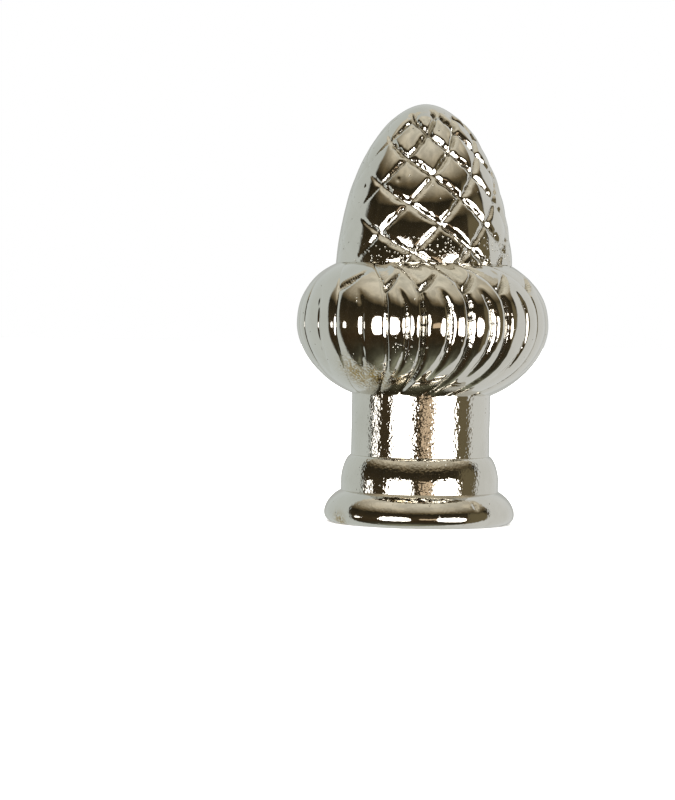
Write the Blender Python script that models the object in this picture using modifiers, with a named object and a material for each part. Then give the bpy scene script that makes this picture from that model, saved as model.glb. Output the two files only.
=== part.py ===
"""Acorn finial in polished nickel plate, cast in one piece.

From the underside up: a swelling foot, a stepped collar, a plain neck, a cup of carved leaves
and an acorn nut cut with a lattice of crossed grooves. A blind socket in the underside takes a
rod. The axis is Z, the origin is the middle of the underside, and bearing 0 faces -Y.
"""

from math import asin, atan2, ceil, cos, floor, hypot, pi, radians, sin, tan, tau

import bmesh
import bpy
import numpy as np

# Heights, one above the other
FOOT_HEIGHT = 0.00325
FOOT_WIDEST_HEIGHT = 0.00095
COLLAR_HEIGHT = 0.0036
COLLAR_SIDE_HEIGHT = 0.0012
NECK_LENGTH = 0.0063
CUP_LOWER_HEIGHT = 0.0069
CUP_UPPER_HEIGHT = 0.0062
NUT_HEIGHT = 0.0163

# Radii
FOOT_RADIUS = 0.0097
FOOT_EDGE_ROUND = 0.0009
COLLAR_RADIUS = 0.00803
NECK_RADIUS = 0.00706
CUP_RADIUS = 0.0127
NUT_RADIUS = 0.00877

# Socket in the underside, at the pitch radius of its thread
SOCKET_RADIUS = 0.00475
SOCKET_DEPTH = 0.012
SOCKET_CHAMFER = 0.0005
DRILL_POINT_ANGLE = radians(59)

# Fullness of the curved outlines, as powers of a superellipse
FOOT_FULLNESS = 1.8
COLLAR_FULLNESS = 1.6
CUP_LOWER_FULLNESS = 1.8
CUP_UPPER_FULLNESS = 2.2
FOOT_CORE_SHARE = 0.87
CUP_CORE_SHARE = 0.57
NUT_SHOULDER_POWER = 1.8
NUT_TIP_POWER = 0.534

# Leaves of the cup
LEAF_GROOVE_DEPTH = 0.00042
LEAF_RIB_DEPTH = 0.00025
LEAF_CROWN = 0.00011
LEAF_TIP_DEPTH = 0.00035
LEAF_TIP_SUNK = 0.00012
LEAF_TIP_DROP = 0.00035
LEAF_TIP_RISE = 0.0024
LEAF_TIP_WIDTH = 0.0003
LEAF_FOOT_FADE = 0.0006
LEAF_EDGE_SHARE = 0.12
LEAF_RIB_SHARE = 0.57
LEAF_RIB_BOW = radians(7.0)
LEAF_RIB_ROOM = 0.8
LEAF_RIB_STRAIGHTENS = (0.7, 1.0)
LEAF_RIB_FOOT = (0.8, 0.5)
LEAF_RIB_HEAD = (0.6, 0.4)
LEAF_SWEEP = radians(18)
LEAF_SWEEP_UPPER_POWER = 3.5
LEAF_SWEEP_LOWER_POWER = 4.0
# How far each leaf's groove strays from even spacing, as it was cut, in degrees from the front round
LEAF_STRAYS = (0.5, -0.6, -3.3, -3.3, -1.5, 1.0, 2.0, 0.5, -1.0, -2.0, -0.5, 1.5, 0.5, -0.3, 2.8, 6.2)
LEAF_COUNT = len(LEAF_STRAYS)

# Lattice of the nut: one family of grooves leans left going up, the other leans right
LEFT_GROOVES = 9
LEFT_START = radians(36.6)
LEFT_TURN = radians(174)
LEFT_WANDER = radians(8.3)
LEFT_WANDER_PHASE = radians(47.6)
RIGHT_GROOVES = 10
RIGHT_START = radians(-86.3)
RIGHT_TURN = radians(124.5)
RIGHT_WANDER = radians(2.1)
RIGHT_WANDER_PHASE = radians(-17.9)
WANDERS_ROUND = 2
LATTICE_GROOVE_DEPTH = 0.00038
LATTICE_CROWN = 0.00010
LATTICE_FADE_START = 0.77
LATTICE_TOP = 0.85

# How finely the curved faces are divided
TURNING_STEPS = 60
SOCKET_SIDES = 24
ARC_POINTS = 6
PAD_SHARES = (0.0, 0.10, 0.37, 0.63, 0.90)
CUP_BODY_ROWS = 11
TIP_ROW = 4
RIB_COLUMN = 3
NUT_CAP_RINGS = 3
NUT_TABLE_SIZE = 2000
NUT_TABLE_GRADING = 3
NORMAL_STEP = 0.002
CROSSING_ROUNDS = 40
SHARP_ANGLE = radians(35)

# How far one turned form runs on inside the next, so that they unite cleanly
OVERLAP = 0.001
# How far a cutter stands out past the face that it opens
CUTTER_PROUD = 0.0005
MERGE_DISTANCE = 0.000002

FOOT_TOP = FOOT_HEIGHT
COLLAR_TOP = FOOT_TOP + COLLAR_HEIGHT
CUP_BOTTOM = COLLAR_TOP + NECK_LENGTH
CUP_WIDEST = CUP_BOTTOM + CUP_LOWER_HEIGHT
CREASE = CUP_WIDEST + CUP_UPPER_HEIGHT


def clear_scene():
    for old in list(bpy.data.objects):
        bpy.data.objects.remove(old, do_unlink=True)


def make_collection(name):
    collection = bpy.data.collections.new(name)
    bpy.context.scene.collection.children.link(collection)
    return collection


def smooth_step(low, high, value):
    share = min(max((value - low) / (high - low), 0.0), 1.0)
    return share * share * (3 - 2 * share)


def swell(share, fullness):
    """Width of a superellipse at a share of its height."""
    return max(1 - min(share, 1.0) ** fullness, 0.0) ** (1 / fullness)


def swell_height(core, widest, end, height, fullness):
    """Full height of a superellipse that has narrowed from widest to end over height."""
    return height / swell((end - core) / (widest - core), fullness)


def foot_outline():
    """Upper and lower curves of the foot, top to bottom."""
    core = FOOT_CORE_SHARE * COLLAR_RADIUS
    upper = FOOT_HEIGHT - FOOT_WIDEST_HEIGHT
    full = swell_height(core, FOOT_RADIUS, COLLAR_RADIUS, upper, FOOT_FULLNESS)
    points = []
    for index in range(ARC_POINTS):
        rise = upper * cos(0.5 * pi * index / ARC_POINTS)
        radius = core + (FOOT_RADIUS - core) * swell(rise / full, FOOT_FULLNESS)
        points.append((radius, FOOT_WIDEST_HEIGHT + rise))
    for index in range(ARC_POINTS):
        angle = 0.5 * pi * index / (ARC_POINTS - 1)
        radius = FOOT_RADIUS - FOOT_EDGE_ROUND * (1 - cos(angle))
        points.append((radius, FOOT_WIDEST_HEIGHT * (1 - sin(angle))))
    return points


def collar_outline():
    """Rounded shoulder and short straight side of the collar, top to bottom."""
    shoulder = COLLAR_HEIGHT - COLLAR_SIDE_HEIGHT
    points = []
    for index in range(ARC_POINTS):
        share = cos(0.5 * pi * index / (ARC_POINTS - 1))
        radius = NECK_RADIUS + (COLLAR_RADIUS - NECK_RADIUS) * swell(share, COLLAR_FULLNESS)
        points.append((radius, FOOT_TOP + COLLAR_SIDE_HEIGHT + shoulder * share))
    return points


def cup_radius(height):
    """Radius of the uncarved cup at a height above the underside."""
    core = CUP_CORE_SHARE * NECK_RADIUS
    if height > CUP_WIDEST:
        full = swell_height(core, CUP_RADIUS, NUT_RADIUS, CUP_UPPER_HEIGHT, CUP_UPPER_FULLNESS)
        return core + (CUP_RADIUS - core) * swell((height - CUP_WIDEST) / full, CUP_UPPER_FULLNESS)
    full = swell_height(core, CUP_RADIUS, NECK_RADIUS, CUP_LOWER_HEIGHT, CUP_LOWER_FULLNESS)
    return core + (CUP_RADIUS - core) * swell((CUP_WIDEST - height) / full, CUP_LOWER_FULLNESS)


def cup_rows(tip):
    """Heights of one upright line of points, top to bottom, with three across the tip groove."""
    core = CUP_CORE_SHARE * NECK_RADIUS
    above = swell_height(core, CUP_RADIUS, NUT_RADIUS, CUP_UPPER_HEIGHT, CUP_UPPER_FULLNESS)
    below = swell_height(core, CUP_RADIUS, NECK_RADIUS, CUP_LOWER_HEIGHT, CUP_LOWER_FULLNESS)
    rows = [CUP_WIDEST + above, CREASE + 0.5 * (above - CUP_UPPER_HEIGHT), CREASE]
    rows += [tip + LEAF_TIP_WIDTH, tip, tip - LEAF_TIP_WIDTH]
    below_tips = tip_height(0) - 2 * LEAF_TIP_WIDTH
    top_angle = asin((below_tips - CUP_WIDEST) / above)
    low_angle = -asin(CUP_LOWER_HEIGHT / below)
    for index in range(CUP_BODY_ROWS + 1):
        angle = top_angle + (low_angle - top_angle) * index / CUP_BODY_ROWS
        reach = above if angle > 0 else below
        rows.append(CUP_WIDEST + reach * sin(angle))
    rows.append(CUP_BOTTOM - 0.5 * (below - CUP_LOWER_HEIGHT))
    rows.append(CUP_WIDEST - below)
    return rows


def turned_mesh(name, points, steps):
    """Closed turned body from an outline that runs down its outer side, axis to axis."""
    profile = bpy.data.meshes.new(name + "_outline")
    corners = [(radius, 0, height) for radius, height in points]
    profile.from_pydata(corners, [(i, i + 1) for i in range(len(corners) - 1)], [])
    blank = bpy.data.objects.new(name + "_outline", profile)
    bpy.context.scene.collection.objects.link(blank)
    screw = blank.modifiers.new("Turn", "SCREW")
    screw.axis = "Z"
    screw.steps = steps
    screw.render_steps = steps
    screw.use_merge_vertices = True
    screw.merge_threshold = MERGE_DISTANCE
    evaluated = blank.evaluated_get(bpy.context.evaluated_depsgraph_get())
    mesh = bpy.data.meshes.new_from_object(evaluated)
    mesh.name = name
    bpy.data.objects.remove(blank, do_unlink=True)
    bpy.data.meshes.remove(profile)
    return mesh


def shade_round(mesh):
    mesh.shade_smooth()
    mesh.set_sharp_from_angle(angle=SHARP_ANGLE)


def guide_object(name, mesh, collection):
    """A body that is only united with, or cut from, the finial."""
    guide = bpy.data.objects.new(name, mesh)
    guide.hide_render = True
    guide.display_type = "WIRE"
    collection.objects.link(guide)
    return guide


def make_stem():
    """Foot, collar and neck, which runs on up inside the cup."""
    hidden_top = CUP_BOTTOM + OVERLAP
    points = [(0, hidden_top), (NECK_RADIUS, hidden_top)]
    points += collar_outline()
    points += foot_outline()
    points.append((0, 0))
    mesh = turned_mesh("stem", points, TURNING_STEPS)
    shade_round(mesh)
    return mesh


def waist_share(height):
    """How far a height lies from the waist of the cup, 1 at its crease and at the neck."""
    if height > CUP_WIDEST:
        return (height - CUP_WIDEST) / CUP_UPPER_HEIGHT
    return (CUP_WIDEST - height) / CUP_LOWER_HEIGHT


def groove_bearing(leaf, height):
    """Bearing of the groove on the left of a leaf: it swings right at the waist of the cup."""
    stray = radians(LEAF_STRAYS[leaf % LEAF_COUNT])
    power = LEAF_SWEEP_UPPER_POWER if height > CUP_WIDEST else LEAF_SWEEP_LOWER_POWER
    return tau * leaf / LEAF_COUNT + stray - LEAF_SWEEP * waist_share(height) ** power


def rib_bearing(leaf, height):
    """Bearing of the groove up the middle of a leaf, which is bowed more than its edges."""
    left = groove_bearing(leaf, height)
    middle = LEAF_RIB_SHARE * (groove_bearing(leaf + 1, height) - left)
    away = waist_share(height)
    bow = min(LEAF_RIB_BOW * away ** 2, LEAF_RIB_ROOM * middle)
    return left + middle - bow * (1 - smooth_step(*LEAF_RIB_STRAIGHTENS, away))


def tip_height(share):
    """Height of the groove that closes a leaf's tip: it climbs from left to right."""
    return CREASE - LEAF_TIP_DROP - LEAF_TIP_RISE * (1 - share)


def leaf_shares():
    """Where the upright lines of points stand across a leaf at its tip, as shares of its width."""
    left = LEAF_EDGE_SHARE
    rib = LEAF_RIB_SHARE
    right = 1 - LEAF_EDGE_SHARE
    return (0.0, left, 0.5 * (left + rib), rib, 0.5 * (rib + right), right)


def leaf_bearing(leaf, column, height):
    """Bearing of one upright line of points across a leaf, left to right."""
    left = groove_bearing(leaf, height)
    right = groove_bearing(leaf + 1, height)
    rib = rib_bearing(leaf, height)
    edge = LEAF_EDGE_SHARE * (right - left)
    bearings = (left, left + edge, 0.5 * (left + edge + rib), rib, 0.5 * (rib + right - edge), right - edge)
    return bearings[column]


def leaf_relief(column, share, height):
    """Height of the carved face above the plain cup at one point of a leaf."""
    by_neck = smooth_step(CUP_BOTTOM - LEAF_FOOT_FADE, CUP_BOTTOM + LEAF_FOOT_FADE, height)
    if column == 0:
        return -0.5 * LEAF_GROOVE_DEPTH * (1 + by_neck)
    relief = LEAF_CROWN * sin(pi * share) * by_neck
    if column == RIB_COLUMN:
        fade = LEAF_RIB_HEAD if height > CUP_WIDEST else LEAF_RIB_FOOT
        relief -= (LEAF_RIB_DEPTH + LEAF_CROWN) * smooth_step(*fade, waist_share(height))
    return relief


def make_cup():
    """Turned cup whose points are drawn along the leaves and pressed in at their grooves."""
    shares = leaf_shares()
    stations = LEAF_COUNT * len(shares)
    levels = np.array(cup_rows(tip_height(0.5)))
    points = [(cup_radius(height), height) for height in levels]
    mesh = turned_mesh("leaf_cup", [(0, levels[0])] + points + [(0, levels[-1])], stations)
    for vertex in mesh.vertices:
        x, y, height = vertex.co
        if hypot(x, y) < MERGE_DISTANCE:
            continue
        station = round(stations * (atan2(x, -y) % tau) / tau) % stations
        leaf, column = divmod(station, len(shares))
        row = int(np.argmin(abs(levels - height)))
        share = shares[column] if column > 0 else 0.5
        height = cup_rows(tip_height(share))[row]
        relief = leaf_relief(column, share, height)
        if row == TIP_ROW and column > 0:
            relief = -LEAF_TIP_DEPTH
        elif row < TIP_ROW and column > 0:
            relief = -LEAF_TIP_SUNK
        bearing = leaf_bearing(leaf, column, height)
        radius = cup_radius(height) + relief
        vertex.co = (radius * sin(bearing), -radius * cos(bearing), height)
    shade_round(mesh)
    return mesh


class NutOutline:
    """Outline of the nut, read by the share of its length from the crease to the tip."""

    def __init__(self):
        spread = np.linspace(0, 1, NUT_TABLE_SIZE)
        share = 1 - (1 - spread) ** NUT_TABLE_GRADING
        self.radii = NUT_RADIUS * (1 - share ** NUT_SHOULDER_POWER) ** NUT_TIP_POWER
        self.heights = CREASE + NUT_HEIGHT * share
        steps = np.hypot(np.diff(self.radii), np.diff(self.heights))
        self.along = np.concatenate(([0], np.cumsum(steps)))
        self.length = self.along[-1]
        self.along = self.along / self.length

    def point(self, share):
        """Radius and height; below the crease the wall runs straight down."""
        if share < 0:
            return NUT_RADIUS, CREASE + share * self.length
        radius = float(np.interp(share, self.along, self.radii))
        height = float(np.interp(share, self.along, self.heights))
        return radius, height

    def normal(self, share):
        """Outward and upward parts of the direction that the face looks in."""
        low_radius, low_height = self.point(max(share - NORMAL_STEP, 0))
        high_radius, high_height = self.point(max(share, 0) + NORMAL_STEP)
        length = hypot(high_radius - low_radius, high_height - low_height)
        return (high_height - low_height) / length, (low_radius - high_radius) / length


def lattice_place(left_count, right_count):
    """Bearing and share of the outline where two lattice lines cross."""
    bearing = 0.0
    share = 0.0
    for _ in range(CROSSING_ROUNDS):
        left_wander = LEFT_WANDER * cos(WANDERS_ROUND * bearing - LEFT_WANDER_PHASE)
        right_wander = RIGHT_WANDER * cos(WANDERS_ROUND * bearing - RIGHT_WANDER_PHASE)
        left = LEFT_START + tau * left_count / LEFT_GROOVES + left_wander
        right = RIGHT_START + tau * right_count / RIGHT_GROOVES + right_wander
        share = (left - right) / (LEFT_TURN + RIGHT_TURN)
        bearing = left - LEFT_TURN * share
    return bearing, share


def pad_relief(left_share, right_share, share):
    """Height above the plain nut at one point of a pad: grooves all round, a low crown within."""
    crown = 16 * left_share * (1 - left_share) * right_share * (1 - right_share)
    depth = LATTICE_GROOVE_DEPTH if min(left_share, right_share) == 0 else 0.0
    return (LATTICE_CROWN * crown - depth) * smooth_step(LATTICE_TOP, LATTICE_FADE_START, share)


def pad_station(line):
    """Whole pads, and the share of one more, for a line of the flat grid."""
    whole, part = divmod(round(line), len(PAD_SHARES))
    return whole, PAD_SHARES[part]


def make_nut():
    """A flat grid of pads, rolled round the nut, cut level and closed over the tip."""
    outline = NutOutline()
    lowest = -OVERLAP / outline.length
    slack = LEFT_WANDER + RIGHT_WANDER
    start = LEFT_START - RIGHT_START
    first = floor((start - slack - LEFT_TURN - RIGHT_TURN) * RIGHT_GROOVES / tau)
    last = ceil((start + slack) * RIGHT_GROOVES / tau) + RIGHT_GROOVES + 1
    columns = LEFT_GROOVES * len(PAD_SHARES)
    rows = (last - first) * len(PAD_SHARES)
    bm = bmesh.new()
    bmesh.ops.create_grid(bm, x_segments=columns, y_segments=rows, size=0.5)
    outside = []
    for vertex in bm.verts:
        left_whole, left_share = pad_station((vertex.co.x + 0.5) * columns)
        right_whole, right_share = pad_station((vertex.co.y + 0.5) * rows)
        bearing, share = lattice_place(left_whole + left_share, first + right_whole + right_share)
        if share > 0.5 * (1 + LATTICE_TOP) or share < 3 * lowest:
            outside.append(vertex)
            continue
        relief = pad_relief(left_share, right_share, share)
        radius, height = outline.point(share)
        out, up = outline.normal(share)
        radius += relief * out
        vertex.co = (radius * sin(bearing), -radius * cos(bearing), height + relief * up)
    bmesh.ops.delete(bm, geom=outside, context="VERTS")
    bmesh.ops.remove_doubles(bm, verts=bm.verts[:], dist=MERGE_DISTANCE)
    for share, side in ((lowest, -1), (LATTICE_TOP, 1)):
        plane = (0, 0, outline.point(share)[1])
        geometry = bm.verts[:] + bm.edges[:] + bm.faces[:]
        bmesh.ops.bisect_plane(bm, geom=geometry, plane_co=plane, plane_no=(0, 0, side), clear_outer=True)
    bmesh.ops.remove_doubles(bm, verts=bm.verts[:], dist=MERGE_DISTANCE)
    close_nut(bm, outline)
    mesh = bpy.data.meshes.new("acorn_nut")
    bmesh.ops.recalc_face_normals(bm, faces=bm.faces[:])
    bm.to_mesh(mesh)
    bm.free()
    shade_round(mesh)
    return mesh


def close_nut(bm, outline):
    """Rings drawn in over the tip to its pole, and a flat face across the hidden base."""
    rim = [edge for edge in bm.edges if edge.is_boundary and edge.verts[0].co.z > CREASE]
    for ring in range(1, NUT_CAP_RINGS + 1):
        share = LATTICE_TOP + (1 - LATTICE_TOP) * ring / NUT_CAP_RINGS
        radius, height = outline.point(share)
        drawn = bmesh.ops.extrude_edge_only(bm, edges=rim)["geom"]
        rim = [item for item in drawn if isinstance(item, bmesh.types.BMEdge) and item.is_boundary]
        for vertex in {vertex for edge in rim for vertex in edge.verts}:
            bearing = atan2(vertex.co.x, -vertex.co.y)
            vertex.co = (radius * sin(bearing), -radius * cos(bearing), height)
    bmesh.ops.remove_doubles(bm, verts=bm.verts[:], dist=MERGE_DISTANCE)
    base = [edge for edge in bm.edges if edge.is_boundary]
    bmesh.ops.holes_fill(bm, edges=base, sides=0)


def make_socket():
    """Drilled hole with a small chamfer at its mouth and the cone that a drill leaves."""
    cone = SOCKET_RADIUS / tan(DRILL_POINT_ANGLE)
    wide = SOCKET_RADIUS + SOCKET_CHAMFER
    points = [
        (0, SOCKET_DEPTH + cone),
        (SOCKET_RADIUS, SOCKET_DEPTH),
        (SOCKET_RADIUS, SOCKET_CHAMFER),
        (wide, 0),
        (wide, -CUTTER_PROUD),
        (0, -CUTTER_PROUD),
    ]
    mesh = turned_mesh("socket", points, SOCKET_SIDES)
    shade_round(mesh)
    return mesh


def nickel_material():
    material = bpy.data.materials.new("polished_nickel")
    material.use_nodes = True
    shader = material.node_tree.nodes["Principled BSDF"]
    shader.inputs["Base Color"].default_value = (0.66, 0.63, 0.56, 1)
    shader.inputs["Metallic"].default_value = 1.0
    shader.inputs["Roughness"].default_value = 0.12
    return material


def join_guide(target, guide, operation):
    boolean = target.modifiers.new(guide.name, "BOOLEAN")
    boolean.object = guide
    boolean.operation = operation
    boolean.solver = "EXACT"


def main():
    clear_scene()
    parts = make_collection("acorn_finial")
    cutters = make_collection("cutters")
    finial = bpy.data.objects.new("finial", make_stem())
    parts.objects.link(finial)
    finial.data.materials.append(nickel_material())
    join_guide(finial, guide_object("leaf_cup", make_cup(), cutters), "UNION")
    join_guide(finial, guide_object("acorn_nut", make_nut(), cutters), "UNION")
    join_guide(finial, guide_object("socket", make_socket(), cutters), "DIFFERENCE")


main()
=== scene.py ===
from math import asin, atan, cos, pi, radians, sin, tan, tau

import bpy
import numpy as np
from mathutils import Euler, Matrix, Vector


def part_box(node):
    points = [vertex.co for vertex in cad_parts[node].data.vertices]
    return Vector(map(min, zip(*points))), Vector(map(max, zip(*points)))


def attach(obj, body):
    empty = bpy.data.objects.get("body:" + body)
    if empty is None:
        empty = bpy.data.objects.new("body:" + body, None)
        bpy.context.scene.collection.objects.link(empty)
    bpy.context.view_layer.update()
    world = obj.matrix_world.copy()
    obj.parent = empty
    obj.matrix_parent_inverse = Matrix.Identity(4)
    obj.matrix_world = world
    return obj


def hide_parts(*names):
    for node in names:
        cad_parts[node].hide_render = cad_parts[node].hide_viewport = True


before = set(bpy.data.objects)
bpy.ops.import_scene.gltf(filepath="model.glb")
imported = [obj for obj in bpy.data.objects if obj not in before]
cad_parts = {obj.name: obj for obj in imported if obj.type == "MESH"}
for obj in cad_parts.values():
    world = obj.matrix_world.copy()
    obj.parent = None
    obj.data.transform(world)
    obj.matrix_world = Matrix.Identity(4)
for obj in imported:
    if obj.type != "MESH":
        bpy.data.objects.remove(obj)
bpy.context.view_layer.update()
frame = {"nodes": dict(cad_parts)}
print("frame loaded:", ", ".join(frame["nodes"]))

mm = 0.001
lowCorner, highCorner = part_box("finial")


# Node helpers

def addNode(tree, kind, inputs=None, **settings):
    made = tree.nodes.new(kind)
    count = len(tree.nodes) - 1
    made.location = (190 * (count % 14), -240 * (count // 14))
    for name, value in settings.items():
        setattr(made, name, value)
    for key, value in (inputs or {}).items():
        if isinstance(value, bpy.types.NodeSocket):
            tree.links.new(value, made.inputs[key])
        else:
            made.inputs[key].default_value = value
    return made


def maths(tree, operation, *values, clamp=False):
    made = addNode(tree, "ShaderNodeMath", dict(enumerate(values)), operation=operation, use_clamp=clamp)
    return made.outputs[0]


def times(tree, product, *others):
    for value in others:
        product = maths(tree, "MULTIPLY", product, value)
    return product


def plus(tree, total, *others):
    for value in others:
        total = maths(tree, "ADD", total, value)
    return total


def oneMinus(tree, value, clamp=False):
    return maths(tree, "SUBTRACT", 1.0, value, clamp=clamp)


def larger(tree, first, second):
    return maths(tree, "MAXIMUM", first, second)


def ease(tree, value, low, high, atLow=0.0, atHigh=1.0):
    # smooth change from atLow to atHigh while value goes from low to high
    inputs = {"Value": value, "From Min": low, "From Max": high, "To Min": atLow, "To Max": atHigh}
    return addNode(tree, "ShaderNodeMapRange", inputs, interpolation_type="SMOOTHSTEP").outputs["Result"]


def mixColour(tree, share, first, second, blend="MIX"):
    made = addNode(tree, "ShaderNodeMix", data_type="RGBA", blend_type=blend)
    for key, value in ((0, share), (6, first), (7, second)):
        if isinstance(value, bpy.types.NodeSocket):
            tree.links.new(value, made.inputs[key])
        else:
            made.inputs[key].default_value = value
    return made.outputs[2]


def addSockets(tree, inputs, outputs):
    # each name has its kind of socket, or a number that the input starts with
    numbers = {int: "Int", float: "Float"}
    for name, value in inputs.items():
        kind = numbers.get(type(value), value)
        socket = tree.interface.new_socket(name, in_out="INPUT", socket_type="NodeSocket" + kind)
        if type(value) in numbers:
            socket.default_value = value
    for name, kind in outputs.items():
        tree.interface.new_socket(name, in_out="OUTPUT", socket_type="NodeSocket" + kind)


# Turned form of the finial, in millimetres from the underside up

form = {
    "footHeight": 3.25,
    "footWidest": 0.95,
    "footRadius": 9.7,
    "footEdge": 0.9,
    "footFullness": 1.8,
    "footCore": 0.87,      # share of the collar's radius
    "collarHeight": 3.6,
    "collarSide": 1.2,
    "collarRadius": 8.03,
    "collarFullness": 1.6,
    "neckLength": 6.3,
    "neckRadius": 7.06,
    "cupLower": 6.9,
    "cupUpper": 6.2,
    "cupRadius": 12.7,
    "cupLowerFullness": 1.8,
    "cupUpperFullness": 2.2,
    "cupCore": 0.57,       # share of the neck's radius
    "nutRadius": 8.77,
    "nutShoulder": 1.8,
    "nutTip": 0.534,
    "boreRadius": 4.75,
    "boreDepth": 12.0,
    "boreChamfer": 0.5,
    "drillAngle": 59.0,
}
footTop = form["footHeight"]
collarTop = footTop + form["collarHeight"]
cupBottom = collarTop + form["neckLength"]
cupWidest = cupBottom + form["cupLower"]
crease = cupWidest + form["cupUpper"]
nutHeight = (highCorner.z - lowCorner.z) / mm - crease
cupCore = form["cupCore"] * form["neckRadius"]

# How many rows and columns of points the carving needs, and where they crowd
grid = {
    "leafColumns": 22,
    "nutRows": 100,
    "cupRows": 108,
    "neckRows": 24,
    "shoulderRows": 14,
    "sideRows": 6,
    "footRows": 12,
    "edgeRows": 8,
    "boreColumns": 44,
    "boreRows": 74,
    "drillRows": 4,
    "cupCrowding": 1.25,           # rows towards the crease, where the leaf tips need them
    "edgeCrowding": (2.2, 0.05),   # columns by a leaf's edges: how many more, and how near
    "ribCrowding": (1.0, 0.07),
    "settling": 0.12,              # share of the nut over which its columns become even
    "leafSamples": 2001,
    "nutSamples": 4000,
    "slopeReach": 0.003,           # share of the nut's outline that a slope is read over
}

# Carved leaves: bearings in degrees, heights in millimetres, and shares of the way from the cup's widest
# part to its ends or across a leaf
leaves = {
    "strays": (0.5, -0.6, -3.3, -3.3, -1.5, 1.0, 2.0, 0.5, -1.0, -2.0, -0.5, 1.5, 0.5, -0.3, 2.8, 6.2),
    "sweep": 18.0,
    "upperPower": 3.5,
    "lowerPower": 4.0,
    "ribShare": 0.57,
    "ribBow": 7.0,
    "ribRoom": 0.8,
    "ribStraightens": (0.7, 1.0),
    "ribHead": (0.6, 0.4),
    "ribFoot": (0.8, 0.5),
    "boatPower": 2.5,           # how evenly deep a rib is before it rises at its ends
    "tipDrop": 0.35,
    "tipRise": 2.4,
    "tipEnds": (0.8, 0.45),     # where across a leaf the groove under its tip starts and is whole
    "grooveHead": (2.9, 1.6),   # the grooves thin out between these depths below the crease
    "headDepth": 0.5,           # share of their depth that the grooves keep there
    "endDepth": 0.5,            # and where the cup ends
    "tipNarrows": (0.1, 0.6),   # where across a leaf the groove under its tip narrows, and to what share
    "tipNarrow": 0.5,
}

# Where polishing has worn the carving faint, as bearings
buffing = {
    "lattice": (-77.0, 28.0, 50.0),    # middle, half width that is wholly worn, half width to the end
    "leafLeft": (-30.0, 8.0),          # from worn to crisp
    "tipLeft": (-50.0, -34.0),
    "leafRight": (64.0, 42.0),
    "leafBack": (85.0, 115.0),
    "backKept": 0.6,
}

# How ragged the skin of each part of the stem is
stemGrain = {"neck": 0.9, "collar": 0.7, "foot": 0.22}

# Single flaws: bearing, height, size and depth
dents = (
    (14, 41.35, 0.30, 2.3),
    (29, 41.0, 0.25, 2.1),
    (58, 40.9, 0.24, 2.0),
    (-52, 33.9, 0.16, 0.7),
    (-21, 34.4, 0.14, 0.6),
    (-20, 16.0, 0.3, 0.5),
    (37, 2.2, 0.3, 0.8),
    (118, 31.5, 0.2, 0.8),
    (205, 17.2, 0.3, 0.6),
)
pits = (
    (-8, 18.2, 1.7, 0.8),
    (-31, 22.4, 0.9, 0.5),
    (64, 16.4, 1.2, 0.5),
    (190, 23.5, 1.5, 0.6),
    (250, 10.2, 1.5, 0.5),
)
creasePits = (0.2, 0.06)       # shares of the nut's outline where fine pits start and where they are thickest
creasePitsWorn = 0.8           # how much of them polishing takes away
stains = (
    (-38, 15.2, 1.5, 1.0),
    (-27, 15.0, 1.2, 1.0),
    (-14, 14.9, 0.8, 0.8),
    (-56, 0.2, 0.9, 1.0),
    (160, 14.8, 1.4, 0.7),
)

# Crossed grooves of the nut: how many, and their bearing at the crease, turn up to the tip and wander
lattice = {
    "left": {"grooves": 9, "start": 36.6, "turn": -174.0, "wander": 8.3, "phase": 47.6},
    "right": {"grooves": 10, "start": -86.3, "turn": 124.5, "wander": 2.1, "phase": -17.9},
    "wandersRound": 2,
    "smallestRadius": 0.05,    # keeps the spacing finite at the tip
}


def swell(share, fullness):
    # width of a superellipse at a share of its height
    return np.maximum(1 - np.minimum(share, 1.0) ** fullness, 0.0) ** (1 / fullness)


def fullHeight(core, widest, end, height, fullness):
    # height of the whole superellipse that narrows from widest to end over height
    return height / swell((end - core) / (widest - core), fullness)


def smoothStep(low, high, value):
    share = np.clip((value - low) / (high - low), 0.0, 1.0)
    return share * share * (3 - 2 * share)


def cupHalf(upper):
    # fullness, height and last angle of the superellipse that a half of the cup is cut from
    fullness = form["cupUpperFullness" if upper else "cupLowerFullness"]
    height = form["cupUpper" if upper else "cupLower"]
    end = form["nutRadius" if upper else "neckRadius"]
    reach = fullHeight(cupCore, form["cupRadius"], end, height, fullness)
    return fullness, reach, asin(height / reach)


def cupCurve(angles):
    # radius, height and normal of the plain cup: angle pi/2 looks up, 0 is the widest part
    wide = form["cupRadius"] - cupCore
    rows = []
    for angle in angles:
        fullness, reach = cupHalf(angle > 0)[:2]
        rise = sin(angle)
        out = swell(abs(rise), fullness)
        slope = abs(rise) ** (fullness - 1) / reach * (1 if rise > 0 else -1)
        face = out ** (fullness - 1) / wide
        length = np.hypot(slope, face)
        rows.append((cupCore + wide * out, cupWidest + reach * rise, face / length, slope / length))
    return rows


def cupAngles(count):
    top = cupHalf(True)[-1]
    bottom = -cupHalf(False)[-1]
    return top + (bottom - top) * np.linspace(0, 1, count + 1) ** grid["cupCrowding"]


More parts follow.
